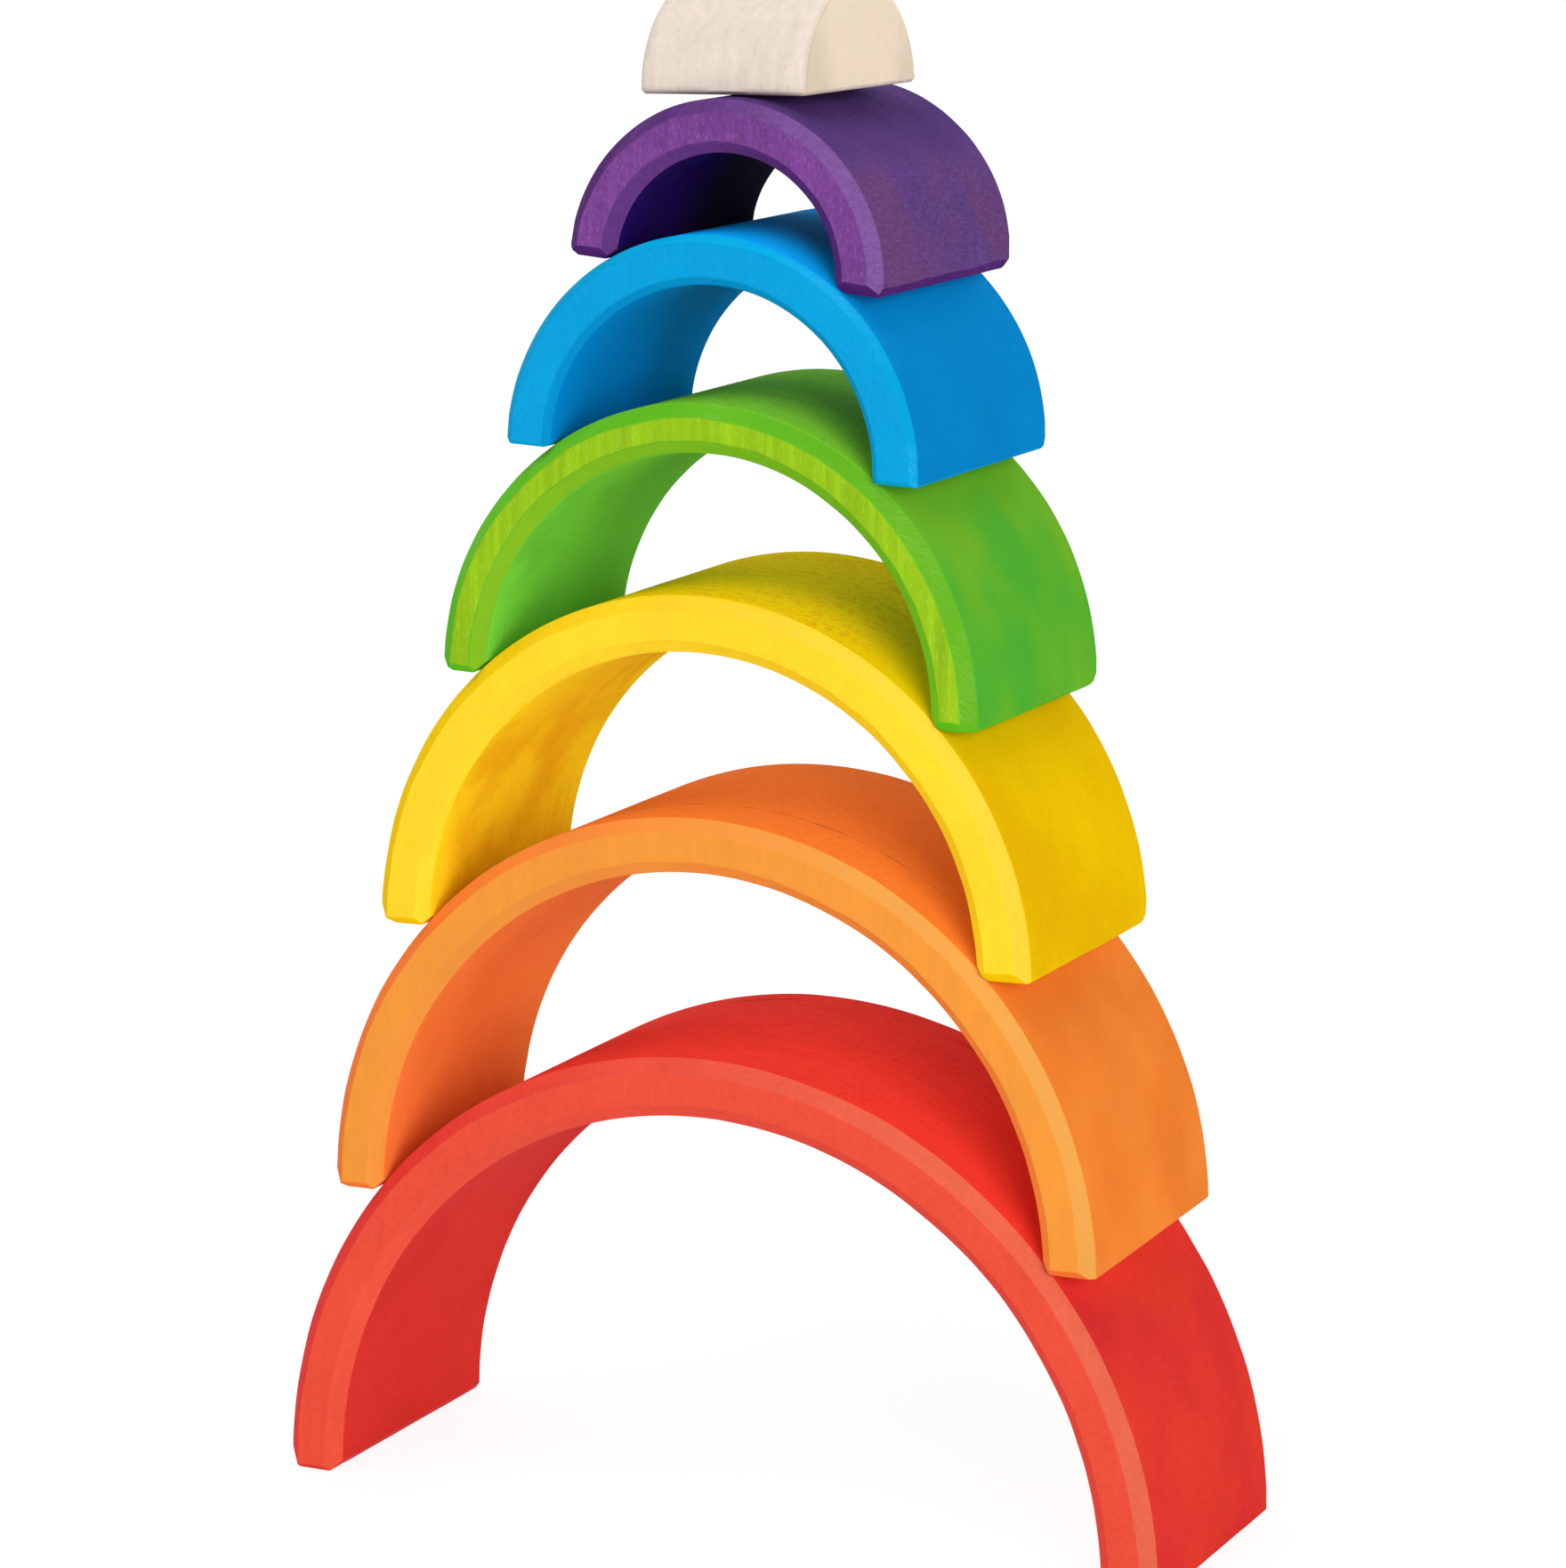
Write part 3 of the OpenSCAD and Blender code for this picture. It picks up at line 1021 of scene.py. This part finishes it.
# %% Bare limewood
ROUND_BACK = "#d4c7ba"
CUT_END = "#d8c6b1"
DARK_DASH = "#a98f74"
PAINTED_EDGE_SHADE = "#b9a48c"
BASE_BAND = (12 * MM, 3 * MM)
DASH_LEAST = 0.07
DASH_NEAR_BASE = 0.2
EDGE_SHADE_PART = 0.35
TOP_LIMITS = (22 * MM, 12 * MM)
TOP_PAINTED_LIGHT = 0.14
SIDE_LIGHT = 0.965
SIDE_STREAKS = 0.34
FEWER_ON_END = -0.26
SOFT_MOTTLE = 0.12
BARE_ROUGHNESS = 0.74
BARE_GLOSS = 0.02
BARE_SEED = 9


def bare_limewood(name, seed):
    finish, tree, shader = new_finish(name)
    grain = limewood_grain(tree, seed)
    front = mark(tree, "front")
    half_way = math.pi / 2 * block_radius
    from_top = calc(tree, "ABSOLUTE", less(tree, roll_out(tree)[0], half_way))
    near_base = soft_step(tree, from_top, *(half_way - height for height in BASE_BAND))
    dashes = times(tree, grain.pores, plus_part(tree, DASH_LEAST, near_base, DASH_NEAR_BASE))
    # Painted shade: the block's edges and chamfers are darkened towards a brown tone.
    edge = times(tree, most(tree, mark(tree, "worn_edge"), mark(tree, "chamfer")), EDGE_SHADE_PART)
    tone = blend_colour(tree, front, hue(ROUND_BACK), hue(CUT_END))
    tone = blend_colour(tree, dashes, tone, hue(DARK_DASH))
    tone = blend_colour(tree, edge, tone, hue(PAINTED_EDGE_SHADE))
    # Painted light: the top of the block's round back is made lighter.
    light = plus_part(tree, SIDE_LIGHT, soft_step(tree, from_top, *TOP_LIMITS), TOP_PAINTED_LIGHT)
    light = plus_wave(tree, light, grain.streaks, plus_part(tree, SIDE_STREAKS, front, FEWER_ON_END))
    light = plus_wave(tree, light, grain.cloud, SOFT_MOTTLE)
    light = plus_wave(tree, light, grain.ends, SOFT_MOTTLE)
    tree.links.new(lit_by_wood(tree, tone, light), shader.inputs["Base Color"])
    rough_with_streaks(tree, shader, grain, BARE_ROUGHNESS)
    shader.inputs["Specular IOR Level"].default_value = BARE_GLOSS
    raise_grain(tree, shader, grain.fibres)
    return finish


pieces[BLOCK].data.materials.append(bare_limewood("bare_wood", BARE_SEED))
print(BLOCK, "wears bare_wood")

# %% [markdown]
# ## The floor
# The photograph shows the tower on pure white. More light would do that too, but it would bleach the
# wood. Rays from the camera, also by way of a shine, see plain white paper here instead, and all other
# rays see paper that is lit. Near the tower a small share of the lit paper shows to the camera too, so
# that the floor keeps a soft shadow.

# %% Floor
WHITE = (1.0, 1.0, 1.0, 1.0)
PAPER = (0.9, 0.9, 0.9, 1.0)
PLAIN_LEVEL = 1.04
FLOOR_SIZE = 3.0
FLOOR_DROP = 0.3 * MM
SHADOW_SHARE = 0.14
SHADOW_LIMITS = (0.12, 0.35)


def seen_directly(tree):
    """One for rays from the camera, also by way of gloss or glass."""
    rays = tree.nodes.new("ShaderNodeLightPath").outputs
    seen = most(tree, rays["Is Camera Ray"], rays["Is Glossy Ray"])
    return most(tree, seen, rays["Is Transmission Ray"])


def white_paper():
    paper = bpy.data.materials.new("white_paper")
    paper.use_nodes = True
    tree = paper.node_tree
    tree.nodes.clear()
    lit = add(tree, "BsdfDiffuse", {"Color": PAPER})
    plain = add(tree, "Emission", {"Color": WHITE, "Strength": PLAIN_LEVEL})
    spot = add(tree, "TexCoord", {}, output="Object")
    away = add(tree, "VectorMath", {0: spot}, output="Value", operation="LENGTH")
    far_off = soft_step(tree, away, *SHADOW_LIMITS)
    plain_share = plus_part(tree, 1 - SHADOW_SHARE, far_off, SHADOW_SHARE)
    mostly_plain = times(tree, seen_directly(tree), plain_share)
    surface = add(tree, "MixShader", {0: mostly_plain, 1: lit, 2: plain})
    output = tree.nodes.new("ShaderNodeOutputMaterial")
    tree.links.new(surface, output.inputs["Surface"])
    return paper


plane = bmesh.new()
bmesh.ops.create_grid(plane, x_segments=1, y_segments=1, size=FLOOR_SIZE)
bmesh.ops.translate(plane, verts=plane.verts, vec=(0, 0, -FLOOR_DROP))
floor_mesh = bpy.data.meshes.new("floor")
plane.to_mesh(floor_mesh)
plane.free()
floor_mesh.materials.append(white_paper())
floor = bpy.data.objects.new("floor", floor_mesh)
bpy.context.scene.collection.objects.link(floor)
print("floor wears", floor_mesh.materials[0].name)

# %% [markdown]
# ## The room
# The photograph's light is soft and comes from the front and the right, so the wood darkens towards
# the back of each tunnel. A world of one level would fill those tunnels. This one is dim behind the
# tower and lighter ahead, while rays from the camera see plain white, as they do on the floor.

# %% World
WORLD_AHEAD = 0.36
WORLD_BEHIND = 0.08
AHEAD = Vector((0.1, -0.9, 0.4)).normalized()

world = bpy.data.worlds.new("white_room")
world.use_nodes = True
room = world.node_tree
ray = add(room, "TexCoord", {}, output="Generated")
ahead = add(room, "VectorMath", {0: ray, 1: AHEAD}, output="Value", operation="DOT_PRODUCT")
limits = {"From Min": -1.0, "From Max": 1.0, "To Min": WORLD_BEHIND, "To Max": WORLD_AHEAD}
softer = add(room, "MapRange", {"Value": ahead, **limits})
level = add(room, "MapRange", {"Value": seen_directly(room), "To Min": softer, "To Max": 1.0})
room.links.new(level, room.nodes["Background"].inputs["Strength"])
room.nodes["Background"].inputs["Color"].default_value = WHITE
bpy.context.scene.world = world
print("world level from", WORLD_BEHIND, "behind to", WORLD_AHEAD, "ahead")

# %% [markdown]
# ## Lamps
# A small lamp or a sun would draw a hard shadow under each arch, so the lamps are large squares. The
# strongest stands at the right, one is above, one behind for the crowns, and a weak one at the far
# left lifts the sides in shade.

# %% Lamps
LAMP_DISTANCE = 1.6


def soft_lamp(name, azimuth, elevation, size, power):
    """Square lamp that faces the middle of the tower."""
    data = bpy.data.lights.new(name, "AREA")
    data.shape = "SQUARE"
    data.size = size
    data.energy = power
    lamp = bpy.data.objects.new(name, data)
    turn = Matrix.Rotation(math.radians(azimuth), 4, "Z")
    tip = Matrix.Rotation(math.radians(90 - elevation), 4, "X")
    lamp.matrix_world = Matrix.Translation(AIM) @ turn @ tip @ Matrix.Translation((0, 0, LAMP_DISTANCE))
    bpy.context.scene.collection.objects.link(lamp)
    print(name, "of", power, "watts")


soft_lamp("right_lamp", azimuth=46, elevation=12, size=0.8, power=19.8)
soft_lamp("top_lamp", azimuth=-30, elevation=60, size=1.0, power=11.6)
soft_lamp("back_lamp", azimuth=190, elevation=32, size=1.2, power=12)
soft_lamp("far_left_lamp", azimuth=-118, elevation=18, size=1.0, power=8)
bpy.context.scene.view_settings.view_transform = "Standard"

# %% [markdown]
# ## Finish
# The view layer is updated once more, so that every piece stands in its place. The sanded pieces
# must stay inside the imported solids' box.

# %% Finish
bpy.context.view_layer.update()
